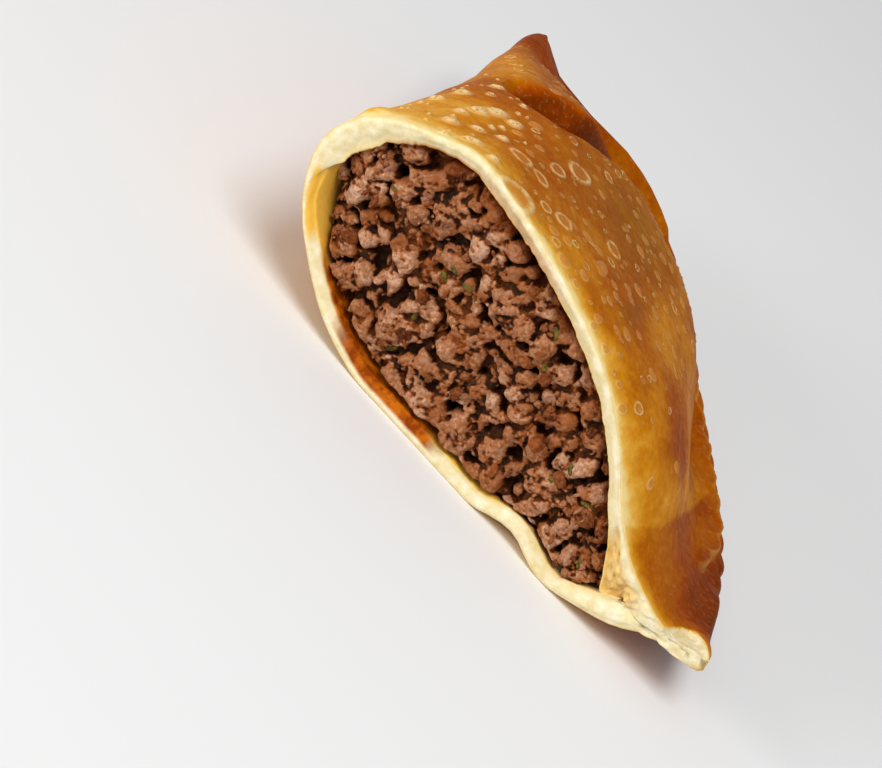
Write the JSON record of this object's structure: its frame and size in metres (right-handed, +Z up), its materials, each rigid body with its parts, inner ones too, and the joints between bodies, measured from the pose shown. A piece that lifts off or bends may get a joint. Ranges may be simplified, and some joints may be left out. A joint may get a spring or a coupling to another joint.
{
  "type": "empanada",
  "caption": "Half of a fried half-moon empanada, cut across to show a minced beef filling in a blistered dough shell with a crimped seam.",
  "frame": {"origin": "middle of the footprint, on the surface that the underside rests on", "axes": "+Z up, -Y out of the cut face, -X toward the folded edge, +X toward the crimped seam, +Y toward the tip where fold and seam meet"},
  "size_m": [0.0754, 0.0768, 0.0312],
  "materials": {
    "crust": "fried dough: golden to amber skin with a soft oily sheen, cream and matt where it is cut",
    "filling": "cooked minced beef: brown crumbs, moist"
  },
  "bodies": {
    "root": {"crust": "crust", "filling": "filling"}
  },
  "joints": []
}
